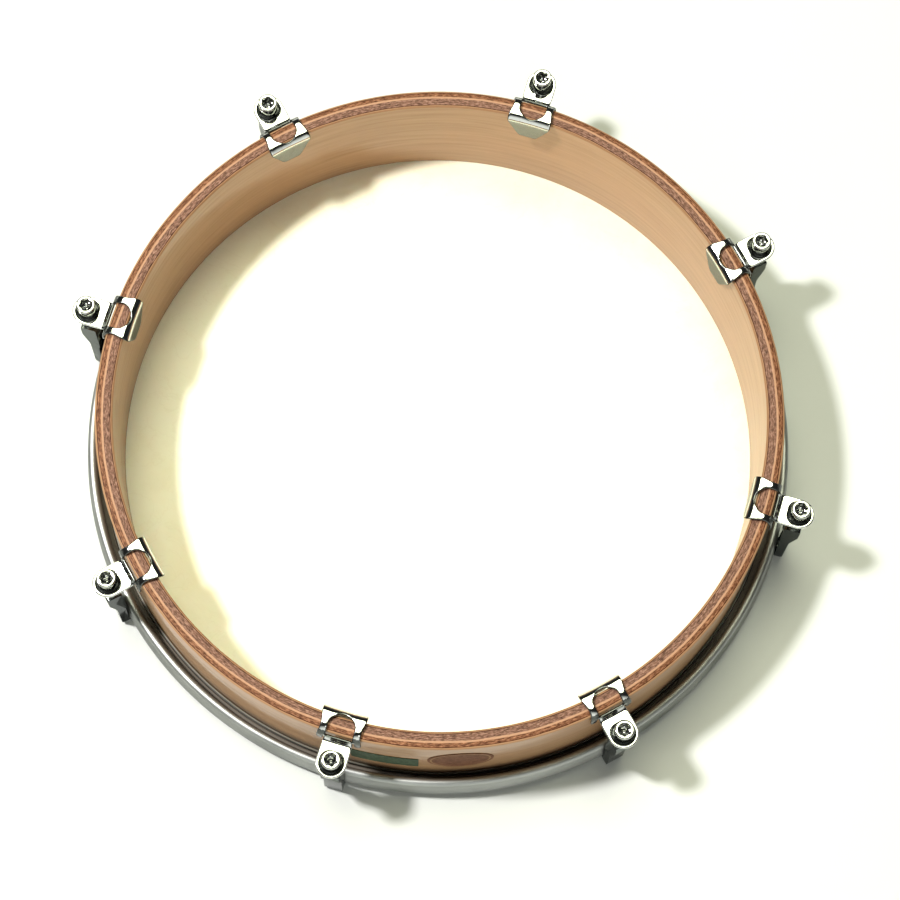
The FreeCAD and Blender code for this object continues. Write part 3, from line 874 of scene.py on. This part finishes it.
# ---- stickers ------------------------------------------------------------------------------------
def build_sticker(name, node, outline, material, dome):
    """Foil on the outside of the shell. The outline is in millimetres along the wall and upwards."""
    low, high = span(node)
    middle = (low + high) / 2
    turn = math.atan2(middle.y, middle.x)
    base = SHELL_R + 0.02
    reach = max(math.hypot(*p) for p in outline)

    def place(s, w, t):
        """Lays the flat foil on the round wall."""
        bulge = dome * max(0.0, 1 - (math.hypot(s, w) / reach) ** 2) if t > 0.1 else 0.0
        angle = turn - s / base
        r = base + t + bulge
        return r * math.cos(angle), r * math.sin(angle), middle.z + w

    width = max(p[0] for p in outline)
    height = max(p[1] for p in outline)
    extra = grid(even(-width, width, 1.5), even(-height, height, 1.5))
    piece = pressed_sheet(name, outline, [], 0.26, 0.1, extra, place)
    piece.data.materials.append(material)
    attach(piece, "root")
    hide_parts(node)


def build_stickers():
    """Round badge and rectangular label, both blank."""
    radius = (badge_high.z - badge_low.z) / 2
    build_sticker("blank_badge", "round_badge", arc((0, 0), radius, 0, 360, 72)[:-1],
                  badge_material(), 0.25)
    height = (label_high.z - label_low.z) / 2
    width = 15.0
    along = even(2 - width, width - 2, 1.5)
    corner = 1.0
    lower = [(-width, -height, corner)] + [(s, -height, 0) for s in along] + [(width, -height, corner)]
    upper = [(-s, -w, radius) for s, w, radius in lower]
    plate = rounded(lower + upper)
    build_sticker("green_label", "blank_label", plate, label_material(), 0.0)


# ---- stage, light and camera ---------------------------------------------------------------------
def build_floor():
    """Pale table top."""
    half = 12000
    corners = [(-half, -half, 0), (half, -half, 0), (half, half, 0), (-half, half, 0)]
    floor = make_object("floor", corners, [(0, 1, 2, 3)])
    n = Nodes("pale_table")
    material = n.finish(Base_Color=(0.605, 0.615, 0.60), Roughness=0.6, Specular_IOR_Level=0.3)
    floor.data.materials.append(material)
    floor.location.z = -0.02 * MM


# Bright areas of the room: direction, angles in degrees where the light ends and is full, colour
# and strength. They are a panel overhead, a low wide fill from the front and a small bright spot.
LIGHT_PATCHES = [
    ((-0.04, 0.34, 0.94), 20, 12, (0.97, 1.0, 0.74), 9.2),
    ((0.10, -1.0, 0.20), 55, 30, (0.97, 1.0, 0.93), 1.15),
    ((0.06, -0.48, 0.88), 5, 3.5, (1.0, 1.0, 0.95), 5.0),
]


def build_light():
    """One lamp high on the left, the bright patches of the room, and a dim room round them."""
    lamp = bpy.data.lights.new("key", "POINT")
    lamp.shadow_soft_size = 0.09
    lamp.energy = 182
    lamp.color = (1.0, 0.99, 0.96)
    spot = bpy.data.objects.new("key", lamp)
    spot.location = (-0.82, 0.04, 1.74)
    bpy.context.scene.collection.objects.link(spot)

    world = bpy.data.worlds.new("studio")
    bpy.context.scene.world = world
    world.use_nodes = True
    tree = world.node_tree
    tree.nodes.clear()

    def add(kind, **settings):
        node = tree.nodes.new(kind)
        for key, value in settings.items():
            setattr(node, key, value)
        return node

    def ramp(value, stops):
        node = add("ShaderNodeValToRGB")
        tree.links.new(value, node.inputs["Fac"])
        elements = node.color_ramp.elements
        for index, (place, colour) in enumerate(stops):
            stop = elements[index] if index < 2 else elements.new(place)
            stop.position = place
            stop.color = (*colour, 1)
        return node.outputs["Color"]

    def combine(blend, a, b):
        node = add("ShaderNodeMix", data_type="RGBA", blend_type=blend)
        node.inputs["Factor"].default_value = 1.0
        link(a, node.inputs["A"])
        if isinstance(b, bpy.types.NodeSocket):
            link(b, node.inputs["B"])
        else:
            node.inputs["B"].default_value = (b, b, b, 1)
        return node.outputs["Result"]

    link = tree.links.new
    where = add("ShaderNodeTexCoord").outputs["Generated"]
    apart = add("ShaderNodeSeparateXYZ")
    link(where, apart.inputs[0])
    total = ramp(apart.outputs["Z"], [
        (0.0, (0.12, 0.12, 0.11)), (0.14, (0.09, 0.09, 0.085)), (0.30, (0.02, 0.021, 0.020)),
        (1.0, (0.02, 0.021, 0.020))])
    for aim, outer, inner, colour, strength in LIGHT_PATCHES:
        dot = add("ShaderNodeVectorMath", operation="DOT_PRODUCT")
        link(where, dot.inputs[0])
        dot.inputs[1].default_value = Vector(aim).normalized()
        patch = ramp(dot.outputs["Value"], [
            (math.cos(math.radians(outer)), (0, 0, 0)), (math.cos(math.radians(inner)), colour)])
        total = combine("ADD", total, combine("MULTIPLY", patch, strength))
    studio = add("ShaderNodeBackground")
    link(total, studio.inputs["Color"])
    pale = add("ShaderNodeBackground")
    pale.inputs["Color"].default_value = (0.86, 0.87, 0.85, 1)
    path = add("ShaderNodeLightPath")
    mixer = add("ShaderNodeMixShader")
    link(path.outputs["Is Camera Ray"], mixer.inputs[0])
    link(studio.outputs[0], mixer.inputs[1])
    link(pale.outputs[0], mixer.inputs[2])
    output = add("ShaderNodeOutputWorld")
    link(mixer.outputs[0], output.inputs["Surface"])


def build_camera():
    """Long lens from above and in front, slightly rolled."""
    target = Vector((3.0, -19.4, EDGE_Z)) * MM
    elevation, roll = math.radians(73.25), math.radians(3.16)
    away = 1245.2 * MM
    data = bpy.data.cameras.new("camera")
    data.sensor_width = 36
    data.lens = 113.26
    data.shift_x = 0.0058
    data.shift_y = 0.0013
    camera = bpy.data.objects.new("camera", data)
    camera.rotation_mode = "QUATERNION"
    back = Vector((0, -math.cos(elevation), math.sin(elevation)))
    camera.location = target + back * away
    level = (-back).to_track_quat("-Z", "Y").to_matrix()
    camera.rotation_quaternion = (Matrix.Rotation(roll, 3, back) @ level).to_quaternion()
    bpy.context.scene.collection.objects.link(camera)
    bpy.context.scene.camera = camera
    bpy.context.scene.view_settings.view_transform = "Standard"


# ---- all of it -----------------------------------------------------------------------------------
build_shell(shell_material())
build_skin(skin_material())
build_hoop(hoop_material())
# The bracket's second and third platings are darker copies of the first, used as painted shade.
build_brackets(chrome_material("bracket_plating", (0.66, 0.67, 0.65), 0.07),
               chrome_material("bracket_plating_painted_dim", (0.28, 0.29, 0.275), 0.20, 0.4),
               chrome_material("bracket_plating_painted_shade", (0.105, 0.110, 0.107), 0.24))
build_screws(chrome_material("screw_plating", (0.50, 0.51, 0.49), 0.07, 0.5))
build_claws(chrome_material("claw_plating", (0.19, 0.205, 0.20), 0.12, 0.5))
build_stickers()
flesh_hoop = frame["nodes"]["flesh_hoop"]
flesh_hoop.data.materials.clear()
flesh_hoop.data.materials.append(flesh_hoop_material())
build_floor()
build_light()
build_camera()

bpy.context.view_layer.update()
